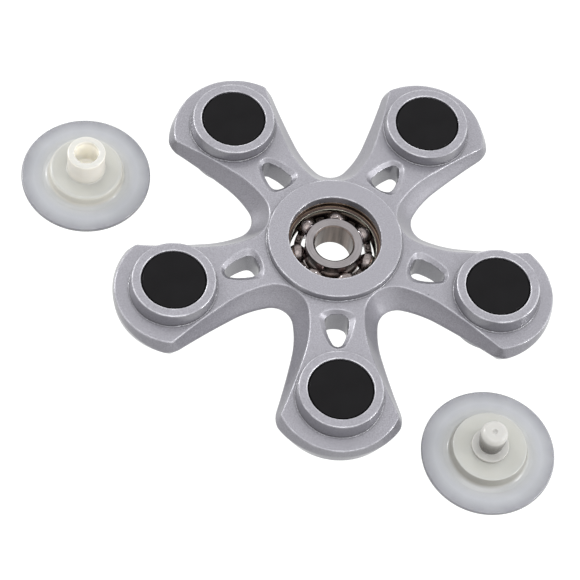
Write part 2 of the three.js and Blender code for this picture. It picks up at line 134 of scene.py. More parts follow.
def body_distance(x, y, z):
    """Signed distance from the spinner body's surface, millimetres from the hub centre. Each
    point is folded onto half of one arm: u along the arm, v across it, w above mid height."""
    r = np.hypot(x, y)
    angle = np.arctan2(y, x) - FIRST_ARM
    angle = angle - ARM_PITCH * np.round(angle / ARM_PITCH)
    u, v = r * np.cos(angle), np.abs(r * np.sin(angle))
    w = np.abs(z)

    half = ARM_HALF - (r - HUB_R) * ARM_TAPER
    height = (np.hypot(w, RIDGE_SOFT) - RIDGE_SOFT) / half
    share = height + 4 * SCOOP * height * (1 - np.minimum(height, 1))
    steepness = 1 + 4 * SCOOP * (1 - 2 * np.minimum(height, 1))
    mid, top = arc_chain(u, v, *FLANK_MID), arc_chain(u, v, *FLANK_TOP)
    lean = 1 / np.hypot(1, (top - mid) * steepness / half)
    flank = (mid + share * (top - mid)) * lean
    corner = (np.minimum(v, TIP_R) / TIP_R) ** 2
    tip = np.hypot(np.maximum(u - TIP_AT, 0), v) - TIP_R - CORNER_BULGE * corner
    tip = tip + (TIP_DRAFT + CORNER_DRAFT * corner) * height
    soft = CORNER_EDGE + CORNER_SOFT * (1 - np.clip(height, 0, 1))
    arm = round_cut(round_cut(flank, tip, soft), w - half, EDGE)

    ring = round_cut(r - HUB_R - (HUB_HALF - w) * HUB_DRAFT, w - HUB_HALF, EDGE)
    from_boss = np.hypot(u - BOSS_AT, v)
    boss = round_cut(from_boss - BOSS_R - (HALF - w) * BOSS_DRAFT, w - HALF, EDGE)
    solid = round_join(round_join(arm, ring, FILLET), boss, FILLET)

    hole, rim = arc_chain(u, v, *WINDOW_HOLE), arc_chain(u, v, *WINDOW_RIM)
    flare = (w - half + BEVEL_DEPTH) / BEVEL_DEPTH
    window = np.minimum(hole, (hole + flare * (rim - hole)) * BEVEL_LEAN)
    window = np.where(u < WINDOW_REACH, window, 1)
    solid = round_cut(solid, -window, WINDOW_EDGE)
    solid = round_cut(solid, BORE_R - from_boss, BORE_EDGE)
    pocket = np.minimum(r - LIP_R, np.maximum(r - POCKET_R, z - POCKET_TOP))
    return round_cut(solid, -pocket, LIP_EDGE)


def gradient(distance, points, step=0.01):
    """Slopes of a distance field at points, and the same as unit outward directions."""
    steps = np.zeros(points.shape)
    for axis in range(3):
        ahead, behind = points.copy(), points.copy()
        ahead[:, axis] += step
        behind[:, axis] -= step
        steps[:, axis] = distance(*ahead.T) - distance(*behind.T)
    slope = steps / (2 * step)
    return slope, slope / np.maximum(np.linalg.norm(slope, axis=1), TINY)[:, None]


def settle(distance, points, rounds):
    """Moves points onto the surface of a distance field."""
    least = 0.05                               # keeps a point near where the field is flat
    for _ in range(rounds):
        slope, _unit = gradient(distance, points)
        squared = np.maximum((slope ** 2).sum(1), least)
        points = points - slope * (distance(*points.T) / squared)[:, None]
    return points


def skin(distance, low, high, cell):
    """Closed quad mesh of a distance field: one vertex in each grid cell that the surface
    passes through, and one quad round each grid edge that it crosses."""
    axes = [np.arange(a, b + cell, cell) for a, b in zip(low, high)]
    value = distance(axes[0][:, None, None], axes[1][None, :, None], axes[2][None, None, :])
    inside = value < 0
    cells = tuple(n - 1 for n in inside.shape)
    corners = [(i, j, k) for i in (0, 1) for j in (0, 1) for k in (0, 1)]

    def corner(grid, offset):
        return grid[tuple(slice(o, o + n) for o, n in zip(offset, cells))]

    count = sum(corner(inside, offset).astype(np.int8) for offset in corners)
    active = (count > 0) & (count < len(corners))
    index = np.full(cells, -1, np.int32)
    index[active] = np.arange(active.sum())
    where = np.argwhere(active)

    total, crossings = np.zeros((len(where), 3)), np.zeros(len(where))
    for axis in range(3):
        unit = np.eye(3, dtype=int)[axis]
        for offset in corners:
            if offset[axis]:
                continue
            first = where + offset
            a, b = value[tuple(first.T)], value[tuple((first + unit).T)]
            crossed = (a < 0) != (b < 0)
            share = np.where(crossed, a / np.where(crossed, a - b, 1), 0)
            total += np.where(crossed[:, None], first + share[:, None] * unit, 0)
            crossings += crossed
    points = total / crossings[:, None] * cell + [a[0] for a in axes]

    quads = []
    for axis in range(3):
        one, two = np.eye(3, dtype=int)[(axis + 1) % 3], np.eye(3, dtype=int)[(axis + 2) % 3]
        near = [slice(1, -1)] * 3
        near[axis] = slice(0, -1)
        far = list(near)
        far[axis] = slice(1, None)
        start, end = inside[tuple(near)], inside[tuple(far)]
        for crossed, order in ((start & ~end, (0, 1, 2, 3)), (~start & end, (3, 2, 1, 0))):
            edge = np.argwhere(crossed) + 1
            edge[:, axis] -= 1
            ring = [edge - one - two, edge - two, edge, edge - one]
            quads.append(np.stack([index[tuple(ring[i].T)] for i in order], 1))
    return points, np.concatenate(quads)


# ------------------------------------------------------------------ meshes and pieces


def new_piece(name, points, faces, at, normals=None):
    """An object at a place, from points in millimetres round it."""
    mesh = bpy.data.meshes.new(name)
    mesh.from_pydata((np.asarray(points) * MM).tolist(), [], [list(map(int, f)) for f in faces])
    mesh.update()
    mesh.shade_smooth()
    if normals is not None:
        mesh.normals_split_custom_set_from_vertices(np.asarray(normals).tolist())
    piece = bpy.data.objects.new(name, mesh)
    piece.location = at
    bpy.context.scene.collection.objects.link(piece)
    return piece


def finish_piece(piece, material, body, nodes):
    """Gives a piece its material and its body, and hides the CAD nodes that it stands for."""
    piece.data.materials.append(material)
    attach(piece, body)
    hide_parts(*nodes)
    return piece


def thinned(points, faces, triangles):
    """The same surface with about that many triangles, fewer where it is flat."""
    mesh = bpy.data.meshes.new("thinning")
    mesh.from_pydata(points.tolist(), [], faces.tolist())
    holder = bpy.data.objects.new("thinning", mesh)
    bpy.context.scene.collection.objects.link(holder)
    fewer = holder.modifiers.new("fewer", "DECIMATE")
    fewer.ratio = triangles / (2 * len(faces))
    graph = bpy.context.evaluated_depsgraph_get()
    done = holder.evaluated_get(graph).to_mesh()
    kept = np.zeros(len(done.vertices) * 3)
    done.vertices.foreach_get("co", kept)
    corners = [list(p.vertices) for p in done.polygons]
    bpy.data.objects.remove(holder)
    bpy.data.meshes.remove(mesh)
    return kept.reshape(-1, 3), corners


BODY_CELL = 0.25        # grid spacing
BODY_MARGIN = 0.6                              # grid outside the CAD solid's box
BODY_TRIANGLES = 190_000


def spinner_body_mesh():
    """Points, faces and outward directions of the spinner body."""
    low = [a / MM - BODY_MARGIN for a in BODY_LOW - HUB]
    high = [a / MM + BODY_MARGIN for a in BODY_HIGH - HUB]
    points, faces = skin(body_distance, low, high, BODY_CELL)
    points = settle(body_distance, points, 3)
    if 2 * len(faces) > BODY_TRIANGLES:
        points, faces = thinned(points, faces, BODY_TRIANGLES)
        points = settle(body_distance, points, 1)
    return points, faces, gradient(body_distance, points)[1]


CORNER_SHARE = 0.48                            # of an edge, the most that a rounding takes
NO_BEND = 1e-3                                 # radians


def rounded(profile, closed, steps, soft):
    """Profile corners turned into arcs. Each corner is (radius, height) or (radius, height,
    rounding). Returns points and their outward directions, for a profile that runs with its
    outside on the right. An open profile starts and ends on the axis."""
    corners = [np.array(c[:2], float) for c in profile]
    soften = [c[2] if len(c) > 2 else soft for c in profile]
    count = len(corners)
    points, normals = [], []
    for i in range(count):
        here = corners[i]
        if not closed and i in (0, count - 1):
            points.append(here)
            normals.append(np.array([0, -1.0 if i == 0 else 1.0]))
            continue
        before, after = corners[i - 1], corners[(i + 1) % count]
        into, out = here - before, after - here
        into, out = into / np.linalg.norm(into), out / np.linalg.norm(out)
        bend = math.atan2(into[0] * out[1] - into[1] * out[0], into @ out)
        shorter = min(np.linalg.norm(here - before), np.linalg.norm(after - here))
        reach = min(soften[i] * math.tan(abs(bend) / 2), CORNER_SHARE * shorter)
        radius = reach / math.tan(abs(bend) / 2) if abs(bend) > NO_BEND else 0
        first = math.atan2(-into[0], into[1])
        side = 1 if bend > 0 else -1
        centre = here - into * reach - side * radius * np.array([into[1], -into[0]])
        for step in range(steps + 1):
            angle = first + bend * step / steps
            normal = np.array([math.cos(angle), math.sin(angle)])
            points.append(centre + side * radius * normal)
            normals.append(normal)
    return np.array(points), np.array(normals)


def turned(profile, sides=96, closed=False, steps=4, soft=0.06):
    """Points, faces and directions of a solid of revolution about Z."""
    line, outward = rounded(profile, closed, steps, soft)
    around = np.linspace(0, 2 * math.pi, sides, endpoint=False)
    points, normals, rows = [], [], []
    for (r, z), (nr, nz) in zip(line, outward):
        if r < TINY:
            rows.append([len(points)] * sides)
            points.append((0, 0, z))
            normals.append((0, 0, nz))
            continue
        rows.append(list(range(len(points), len(points) + sides)))
        points += [(r * math.cos(a), r * math.sin(a), z) for a in around]
        normals += [(nr * math.cos(a), nr * math.sin(a), nz) for a in around]
    faces = []
    for i in range(len(rows) if closed else len(rows) - 1):
        low, high = rows[i], rows[(i + 1) % len(rows)]
        for s in range(sides):
            t = (s + 1) % sides
            loop = [low[s], low[t], high[t], high[s]]
            faces.append(list(dict.fromkeys(loop)))
    return points, faces, normals


def arc_points(cx, cy, radius, start, end, steps):
    """Profile corners along an arc, each hardly rounded."""
    soft = 0.02
    angles = np.radians(np.linspace(start, end, steps + 1))
    return [(cx + radius * math.cos(a), cy + radius * math.sin(a), soft) for a in angles]


# ------------------------------------------------------------------ materials

# Noise scales are per metre. Colours are linear.


class Nodes:
    """Short notation for a material's node tree."""

    def __init__(self, name):
        self.material = bpy.data.materials.new(name)
        self.material.use_nodes = True
        self.tree = self.material.node_tree
        self.shader = self.tree.nodes["Principled BSDF"]
        self.place = self.add("ShaderNodeTexCoord").outputs["Object"]

    def add(self, kind, **settings):
        node = self.tree.nodes.new(kind)
        for key, value in settings.items():
            setattr(node, key, value)
        return node

    def link(self, source, target):
        self.tree.links.new(source, target)
        return source

    def set(self, **values):
        """Shader values that are the same all over the surface."""
        for name, value in values.items():
            self.shader.inputs[name.replace("_", " ")].default_value = value

    def math(self, operation, a, b=0.0):
        node = self.add("ShaderNodeMath", operation=operation)
        for socket, value in zip(node.inputs, (a, b)):
            if isinstance(value, (int, float)):
                socket.default_value = value
            else:
                self.link(value, socket)
        return node.outputs[0]

    def noise(self, scale, detail, roughness=0.5, at=None):
        node = self.add("ShaderNodeTexNoise")
        node.inputs["Scale"].default_value = scale
        node.inputs["Detail"].default_value = detail
        node.inputs["Roughness"].default_value = roughness
        self.link(at or self.place, node.inputs["Vector"])
        return node.outputs["Fac"]

    def specks(self, scale, share, size):
        """1 inside rare small dots, 0 elsewhere. That share of the cells of a grid hold one dot
        each, of that radius in metres, with a soft edge."""
        node = self.add("ShaderNodeTexVoronoi")
        node.inputs["Scale"].default_value = scale
        self.link(self.place, node.inputs["Vector"])
        split = self.add("ShaderNodeSeparateColor")
        self.link(node.outputs["Color"], split.inputs[0])
        chosen = self.math("LESS_THAN", split.outputs[0], share)
        core = 0.6                             # share of the radius inside the soft edge
        dot = self.between(node.outputs["Distance"], size * scale, size * scale * core)
        return self.math("MULTIPLY", chosen, dot)

    def between(self, value, low, high, out_low=0.0, out_high=1.0):
        """out_low up to low, out_high from high on, and a ramp between them."""
        node = self.add("ShaderNodeMapRange", clamp=True)
        for key, number in zip(("From Min", "From Max", "To Min", "To Max"),
                               (low, high, out_low, out_high)):
            node.inputs[key].default_value = number
        self.link(value, node.inputs["Value"])
        return node.outputs["Result"]

    def mix(self, factor, a, b):
        node = self.add("ShaderNodeMix", data_type="RGBA")
        for socket, value in zip((node.inputs[0], node.inputs[6], node.inputs[7]), (factor, a, b)):
            if isinstance(value, (int, float)):
                socket.default_value = value
            elif isinstance(value, (tuple, list)):
                socket.default_value = (*value, 1)
            else:
                self.link(value, socket)
        return node.outputs[2]

    def openness(self, reach, inside=False):
        """1 on open surface, about 0.5 in a corner: hollow corners, or with inside the outer
        edges, that lie within reach."""
        node = self.add("ShaderNodeAmbientOcclusion", samples=4, inside=inside, only_local=True)
        node.inputs["Distance"].default_value = reach
        return node.outputs["AO"]

    def steepness(self):
        """0 on level faces, 1 on walls."""
        split = self.add("ShaderNodeSeparateXYZ")
        self.link(self.add("ShaderNodeTexCoord").outputs["Normal"], split.inputs[0])
        return self.between(self.math("ABSOLUTE", split.outputs[2]), 0.9, 0.4)

    def bump(self, height, strength, distance):
        node = self.add("ShaderNodeBump")
        node.inputs["Strength"].default_value = strength
        node.inputs["Distance"].default_value = distance
        self.link(height, node.inputs["Height"])
        self.link(node.outputs["Normal"], self.shader.inputs["Normal"])

    def round_the_axis(self):
        """Radius, angle and height round the piece's own Z axis, in metres and radians."""
        split = self.add("ShaderNodeSeparateXYZ")
        self.link(self.place, split.inputs[0])
        x, y, z = split.outputs
        radius = self.math("SQRT", self.math("ADD", self.math("MULTIPLY", x, x),
                                             self.math("MULTIPLY", y, y)))
        return radius, self.math("ARCTAN2", y, x), z

    def vector(self, x, y, z):
        node = self.add("ShaderNodeCombineXYZ")
        for socket, value in zip(node.inputs, (x, y, z)):
            if isinstance(value, (int, float)):
                socket.default_value = value
            else:
                self.link(value, socket)
        return node.outputs[0]


def silver_paint():
    """Satin metallic paint: a fine sparkling grain, soft tone changes and a few specks, with a
    painted highlight and wear along the outer edges, and painted shade in the hollow corners."""
    dark, light, clouded = (0.118, 0.116, 0.13), (0.21, 0.206, 0.23), (0.15, 0.148, 0.165)
    # the second and third colours are the outer edges' painted highlight with wear, and the hollow
    # corners' painted shade
    bare_and_highlit, shade_colour, spot = (0.78, 0.78, 0.82), (0.02, 0.02, 0.023), (0.08, 0.08, 0.09)
    edge_reach, corner_reach, speck_radius = metres(0.3, 0.6, 0.22)
    n = Nodes("silver_paint")
    grain = n.noise(4500, 2, 0.7)
    cloud = n.noise(90, 3)
    speck = n.specks(160, 0.06, speck_radius)
    # painted highlight with wear: the outer edges are lighter, in broken patches
    wear_and_highlight = n.between(n.openness(edge_reach, inside=True), 0.86, 0.68)
    wear_and_highlight = n.math("MULTIPLY", wear_and_highlight, n.between(n.noise(260, 3), 0.38, 0.6, 0.12, 1))
    # painted shade: hollow corners are darker
    corner_shade = n.between(n.openness(corner_reach), 0.9, 0.65, 0, 0.92)
    tone = n.mix(n.between(grain, 0.3, 0.7), dark, light)
    tone = n.mix(n.between(cloud, 0.35, 0.65, 0.0, 0.25), tone, clouded)
    tone = n.mix(wear_and_highlight, tone, bare_and_highlit)
    tone = n.mix(corner_shade, tone, shade_colour)
    n.link(n.mix(speck, tone, spot), n.shader.inputs["Base Color"])
    satin = n.between(grain, 0.3, 0.7, 0.34, 0.46)
    n.link(n.math("SUBTRACT", satin, n.math("MULTIPLY", wear_and_highlight, 0.12)), n.shader.inputs["Roughness"])
    n.set(Metallic=0.6, Coat_Weight=0.5, Coat_Roughness=0.12)
    n.bump(grain, 0.35, 0.00004)
    return n.material


def ground_steel(name, dark, light, roughness, bands):
    """Bearing steel with grinding lines that run round the axis. Each band is (inner radius,
    outer radius, half height, colour), in millimetres: tarnish, a browner tone or a painted
    highlight, each in streaks of painted highlight and shade."""
    side_fade, end_fade = 0.05, 0.1
    # painted highlight and shade: each band's colour is brighter in its streaks and dimmer between
    # them
    dull, bright = 0.6, 1.7                    # a band's colour in its streaks, times its own
    n = Nodes(name)
    radius, angle, z = n.round_the_axis()
    lines = n.noise(1, 3, 0.6, n.vector(n.math("MULTIPLY", radius, 9000),
                                        n.math("MULTIPLY", angle, 1.5),
                                        n.math("MULTIPLY", z, 9000)))
    stain = n.noise(500, 3)
    # painted highlight: streaks that change with the angle round the axis
    highlight_streak = n.noise(1, 2, 0.5, n.vector(n.math("MULTIPLY", angle, 2.2), 0,
                                         n.math("MULTIPLY", z, 60)))
    tone = n.mix(n.between(lines, 0.3, 0.7), dark, light)
    tone = n.mix(n.between(stain, 0.4, 0.7, 0, 0.5), tone, dark)
    level = n.math("ABSOLUTE", z)
    for inner, outer, half, colour in bands:
        begun = n.between(radius, *metres(inner, inner + side_fade))
        ended = n.between(radius, *metres(outer - side_fade, outer), 1, 0)
        within = n.between(level, *metres(half - end_fade, half), 1, 0)
        share = n.math("MULTIPLY", n.math("MULTIPLY", begun, ended), within)
        highlight_streaked = n.mix(n.between(highlight_streak, 0.35, 0.65), tuple(dull * c for c in colour),
                         tuple(bright * c for c in colour))
        tone = n.mix(share, tone, highlight_streaked)
    n.link(tone, n.shader.inputs["Base Color"])
    n.link(n.between(lines, 0.3, 0.7, roughness, roughness + 0.12), n.shader.inputs["Roughness"])
    n.set(Metallic=1.0)
    n.bump(lines, 0.15, 0.00002)
    return n.material


def stamped_steel():
    """Oiled cups over the balls; the flats between them duller and darker, with oil and painted
    shade; painted glints.
    """
    flat_top, cup_side, glint_radius = metres(0.5, 1.3, 0.18)
    n = Nodes("stamped_steel")
    mottle = n.noise(2500, 4, 0.6)
    _radius, _angle, z = n.round_the_axis()
    cup = n.between(n.math("ABSOLUTE", z), flat_top, cup_side)
    patch = n.between(mottle, 0.35, 0.65)
    # painted shade with oil: the flats between the cups are darker than the cups
    flat = n.mix(patch, (0.035, 0.029, 0.027), (0.07, 0.058, 0.055))
    polished = n.mix(patch, (0.1, 0.086, 0.083), (0.19, 0.165, 0.16))
    # painted highlights: small bright glints
    painted_glint = n.specks(1000, 0.35, glint_radius)
    n.link(n.mix(painted_glint, n.mix(cup, flat, polished), (0.8, 0.76, 0.78)),
           n.shader.inputs["Base Color"])
    n.link(n.between(mottle, 0.35, 0.65, 0.14, 0.26), n.shader.inputs["Roughness"])
    n.set(Metallic=1.0)
    n.bump(mottle, 0.2, 0.00002)
    return n.material


def polished_ball():
    """Mirror steel under a thin, uneven film of oil."""
    n = Nodes("polished_ball")
    film = n.noise(1200, 3)
    n.link(n.mix(n.between(film, 0.4, 0.7), (0.42, 0.39, 0.41), (0.28, 0.25, 0.265)),
           n.shader.inputs["Base Color"])
    n.link(n.between(film, 0.35, 0.7, 0.05, 0.1), n.shader.inputs["Roughness"])
    n.set(Metallic=1.0)
    return n.material


def black_gloss():
    """Glossy black inset with faint dust."""
    dust_radius = 0.09 * MM
    n = Nodes("black_gloss")
    dust = n.specks(300, 0.1, dust_radius)
    cloud = n.noise(200, 2)
    base = n.mix(n.between(cloud, 0.3, 0.7), (0.002, 0.0018, 0.0022), (0.003, 0.0028, 0.0033))
    n.link(n.mix(dust, base, (0.06, 0.06, 0.065)), n.shader.inputs["Base Color"])
    n.link(n.between(cloud, 0.3, 0.7, 0.12, 0.18), n.shader.inputs["Roughness"])
    n.set(Specular_IOR_Level=0.08)
    return n.material


def plain_steel():
    """Dull mottled steel of the counterweights."""
    n = Nodes("plain_steel")
    lines = n.noise(800, 3)
    n.link(n.mix(lines, (0.16, 0.16, 0.165), (0.25, 0.25, 0.255)), n.shader.inputs["Base Color"])
    n.link(n.between(lines, 0.3, 0.7, 0.35, 0.5), n.shader.inputs["Roughness"])
    n.set(Metallic=1.0)
    return n.material


def milky_nylon(name, boss, boss_wall_shading, stem_wall_shading, stem_top, neck=0.0, bore=0.0):
    """Thin bluish flange with a rim darkened by painted shade, and a creamier boss and stem, each
    with a colour for its wall and one for its level faces, which differ as painted light and
    shade.
    With neck, painted shade darkens the stem from that height down. With bore, the hole of that
    radius is pale inside with painted light. Both are in millimetres."""
    # the rim colour is painted shade at the flange's edge, and the cream one painted light inside
    # the hole
    flange, rim, hole_glow = (0.21, 0.217, 0.231), (0.1, 0.1, 0.115), (0.76, 0.74, 0.68)
    clouded, shade, spot = (0.27, 0.275, 0.28), (0.035, 0.03, 0.025), (0.08, 0.08, 0.08)
    speck_radius = 0.35 * MM
    neck_foot = 0.7 * neck                     # where the neck's shade is darkest
    n = Nodes(name)
    radius, _angle, z = n.round_the_axis()
    cloud = n.noise(260, 3)
    steep = n.steepness()
    tone = n.mix(n.between(radius, *metres(6.5, 10.5)), boss, flange)
    # painted shade: the flange darkens towards its edge
    tone = n.mix(n.between(radius, *metres(11, FLANGE_R + 0.05), 0.0, 0.85), tone, rim)
    on_boss = n.between(radius, *metres(9.5, 8.5))
    # painted light and shade: walls take their own colours, lighter or darker than the level faces
    tone = n.mix(n.math("MULTIPLY", steep, on_boss), tone, boss_wall_shading)
    stem = n.mix(steep, stem_top, stem_wall_shading)
    tone = n.mix(n.between(z, *metres(BOSS_TOP + 0.1, BOSS_TOP + 0.6)), tone, stem)
    tone = n.mix(n.between(cloud, 0.4, 0.7, 0.0, 0.15), tone, clouded)
    # painted shade: the peg's stem darkens towards its neck
    if neck:
        above_collar = n.between(z, *metres(COLLAR_TOP + 0.2, COLLAR_TOP + 0.5))
        low = n.math("POWER", n.between(z, *metres(neck, neck_foot), 0.0, 0.94), 0.5)
        tone = n.mix(n.math("MULTIPLY", low, above_collar), tone, shade)
    # painted light: the hole is pale inside, as though lit through the plastic
    if bore:
        below_mouth = n.between(z, *metres(TUBE_TOP - 0.4, TUBE_TOP - 1.2))
        within = n.math("MULTIPLY", n.math("LESS_THAN", radius, bore * MM), below_mouth)
        tone = n.mix(within, tone, hole_glow)
    speck = n.specks(110, 0.1, speck_radius)
    n.link(n.mix(speck, tone, spot), n.shader.inputs["Base Color"])
    n.link(n.between(cloud, 0.3, 0.7, 0.16, 0.24), n.shader.inputs["Roughness"])
    n.set(Subsurface_Weight=0.3, Subsurface_Radius=(1.0, 0.95, 0.8), Subsurface_Scale=0.002)
    n.bump(cloud, 0.1, 0.0001)
    return n.material


# ------------------------------------------------------------------ the pieces

# Colours of the bands on the bearing's rings. The land's sheen and the golden line on the shield
# step are painted highlights.
# the inner ring's groove is browner and a little darker than its face
BORE_TARNISH, GROOVE_BROWN = (0.096, 0.078, 0.069), (0.14, 0.105, 0.095)
LAND_SHEEN, GOLDEN_STEP_HIGHLIGHT = (0.24, 0.24, 0.2), (0.1, 0.072, 0.052)
ALL_HEIGHT = 4                                 # more than half the bearing's width
body_paint = silver_paint()
inner_steel = ground_steel(
    "inner_ring_steel", (0.14, 0.13, 0.133), (0.215, 0.202, 0.205), 0.26,
    [(0, 4.3, ALL_HEIGHT, BORE_TARNISH), (4.6, 6.2, 3.4, GROOVE_BROWN)])
# painted shade: the outer ring's steel is far darker than the inner ring's, for the pocket under
# the body's lip
shaded_outer_steel = ground_steel(
    "outer_ring_steel_shaded", (0.016, 0.011, 0.011), (0.062, 0.046, 0.041), 0.2,
    [(8.8, 9.05, ALL_HEIGHT, LAND_SHEEN), (9.5, 9.72, ALL_HEIGHT, GOLDEN_STEP_HIGHLIGHT)])
cage_steel = stamped_steel()
chrome = polished_ball()
gloss = black_gloss()
weight_steel = plain_steel()

body_points, body_faces, body_normals = spinner_body_mesh()
finish_piece(new_piece("body_casting", body_points, body_faces, HUB, body_normals),
             body_paint, "spinner", ["spinner_body"])

# Profiles are corners of (radius, height, rounding). A 608 bearing, without its shields:
BEARING_HALF, BEARING_IN_R, BEARING_OUT_R = 3.5, 4.0, 11.0
PITCH_R, BALL_R, BALL_COUNT = 7.5, 3.969 / 2, 7
RACE_R = 2.06                                  # the grooves that the balls run in
INNER_LAND, OUTER_LAND = 5.95, 8.95            # the rings' shoulders beside the grooves
SHIELD_R, SHIELD_DEPTH = 9.6, 1.1              # the step that a shield would sit on
BORE_CHAMFER = 0.4


def outer_ring_profile():
    half, step = BEARING_HALF, BEARING_HALF - SHIELD_DEPTH
    undercut_r, undercut, land = SHIELD_R + 0.25, step - 0.2, step - 0.45
    sweep = math.degrees(math.acos((OUTER_LAND - PITCH_R) / RACE_R))
    return [
        (BEARING_OUT_R, -half, 0.4), (BEARING_OUT_R, half, 0.4),
        (SHIELD_R, half, 0.15), (SHIELD_R, step, 0.2),
        (undercut_r, undercut, 0.1), (OUTER_LAND, land, 0.12),
        *arc_points(PITCH_R, 0, RACE_R, sweep, -sweep, 12),
        (OUTER_LAND, -land, 0.12), (undercut_r, -undercut, 0.1),
        (SHIELD_R, -step, 0.2), (SHIELD_R, -half, 0.15),
    ]


def inner_ring_profile():
    half, bore, chamfer = BEARING_HALF, BEARING_IN_R, BORE_CHAMFER
    sweep = math.degrees(math.acos((PITCH_R - INNER_LAND) / RACE_R))
    return [
        (bore + chamfer, -half, 0.05), (INNER_LAND, -half, 0.15),
        *arc_points(PITCH_R, 0, RACE_R, 180 + sweep, 180 - sweep, 12),
        (INNER_LAND, half, 0.15), (bore + chamfer, half, 0.05),
        (bore, half - chamfer, 0.05), (bore, chamfer - half, 0.05),
    ]


def add_turned(name, profile, at, material, body, slot, nodes, **shape):
    """A finished solid of revolution."""
    points, faces, normals = turned(profile, **shape)
    return finish_piece(new_piece(name, points, faces, at, normals), material, body, nodes)


add_turned("outer_race", outer_ring_profile(), HUB, shaded_outer_steel, "spinner", "bearing_steel",
           ["bearing_outer_ring"], closed=True, sides=128)
add_turned("inner_race", inner_ring_profile(), HUB, inner_steel, "inner_ring", "bearing_steel",
           ["bearing_inner_ring"], closed=True, sides=128)


def ball_mesh(name, at):
    """A ball with a point at each end of its axis."""
    sides, rows = 40, 24
    points, faces = [(0, 0, -BALL_R)], []
    for row in range(1, rows):
        a = math.pi * row / rows
        r, z = BALL_R * math.sin(a), -BALL_R * math.cos(a)
        points += [(r * math.cos(t), r * math.sin(t), z)
                   for t in np.linspace(0, 2 * math.pi, sides, endpoint=False)]
    points.append((0, 0, BALL_R))
    last = len(points) - 1
    for s in range(sides):
        t = (s + 1) % sides
        faces.append((0, 1 + t, 1 + s))
        for row in range(rows - 2):
            a, b = 1 + row * sides, 1 + (row + 1) * sides
            faces.append((a + s, a + t, b + t, b + s))
        top = 1 + (rows - 2) * sides
        faces.append((last, top + s, top + t))
    return new_piece(name, points, faces, at, np.array(points) / BALL_R)


for ball in range(1, BALL_COUNT + 1):
    node = f"ball_{ball}"
    finish_piece(ball_mesh(f"bearing_{node}", centre_of(node)), chrome, node, [node])

CAGE_IN, CAGE_OUT, CAGE_POCKET = 6.75, 8.2, 2.08
CAGE_SHEET, CAGE_GAP = 0.35, 0.04              # sheet thickness, half the gap between the halves
SHARP_ANGLE = math.radians(40)


def cage_half(name, up):
    """One stamped half of the cage, up 1 or down -1: a flat ribbon that cups each ball."""
    first = centre_of("ball_1") - HUB
    start = math.atan2(first.y, first.x)
    steps, across = 26 * BALL_COUNT, 6
    flat = CAGE_GAP + CAGE_SHEET

    def lift(s, offset, radius, floor):
        """Height of a cup of that radius, or of the flat round it: s along the ribbon from the
        nearest ball, and offset across it."""
        inside = radius ** 2 - s ** 2 - offset ** 2
        return max(math.sqrt(inside), floor) if inside > 0 else floor

    points, faces = [], []
    for i in range(steps):
        angle = start + 2 * math.pi * i / steps
        s = PITCH_R * (((i / steps * BALL_COUNT + 0.5) % 1) - 0.5) * 2 * math.pi / BALL_COUNT
        widths = np.linspace(CAGE_IN, CAGE_OUT, across)
        low = [(r, lift(s, r - PITCH_R, CAGE_POCKET, CAGE_GAP)) for r in widths]
        high = [(r, lift(s, r - PITCH_R, CAGE_POCKET + CAGE_SHEET, flat)) for r in widths[::-1]]
        for r, z in low + high:
            points.append((r * math.cos(angle), r * math.sin(angle), up * z))
    ring = 2 * across
    for i in range(steps):
        j = (i + 1) % steps
        for side in range(ring):
            a, b = i * ring + side, i * ring + (side + 1) % ring
            c, d = j * ring + (side + 1) % ring, j * ring + side
            faces.append((d, c, b, a) if up > 0 else (a, b, c, d))
    return new_piece(name, points, faces, HUB)


for node, up in (("cage_upper", 1), ("cage_lower", -1)):
    piece = cage_half(f"ribbon_{node}", up)
    piece.data.set_sharp_from_angle(angle=SHARP_ANGLE)
    finish_piece(piece, cage_steel, "cage", [node])

RIVET_PROFILE = [(0, -0.65), (0.34, -0.63, 0.12), (0.58, -0.43, 0.08), (0.3, -0.43), (0.3, 0.43),
                 (0.58, 0.43, 0.08), (0.34, 0.63, 0.12), (0, 0.65)]
for rivet in range(1, BALL_COUNT + 1):
    node = f"cage_rivet_{rivet}"
    add_turned(f"round_{node}", RIVET_PROFILE, centre_of(node), cage_steel, "cage", "cage_steel",
               [node], sides=24)

DISC_R, DISC_HALF, DISC_BEVEL = 6.6, 0.6, 0.28
DISC_PROFILE = [(0, -DISC_HALF), (DISC_R, -DISC_HALF, 0.1), (DISC_R, DISC_HALF - DISC_BEVEL, 0.1),
                (DISC_R - DISC_BEVEL, DISC_HALF, 0.12), (0, DISC_HALF)]
for arm in range(1, ARM_COUNT + 1):
    for side, turn in (("top", 0), ("bottom", math.pi)):
        node = f"disc_{side}_{arm}"
        points, faces, normals = turned(DISC_PROFILE)
        piece = new_piece(f"inset_{side}_{arm}", points, faces, centre_of(node), normals)
        piece.rotation_euler.x = turn
        finish_piece(piece, gloss, "spinner", [node])
    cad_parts[f"counterweight_{arm}"].data.materials.clear()
    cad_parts[f"counterweight_{arm}"].data.materials.append(weight_steel)

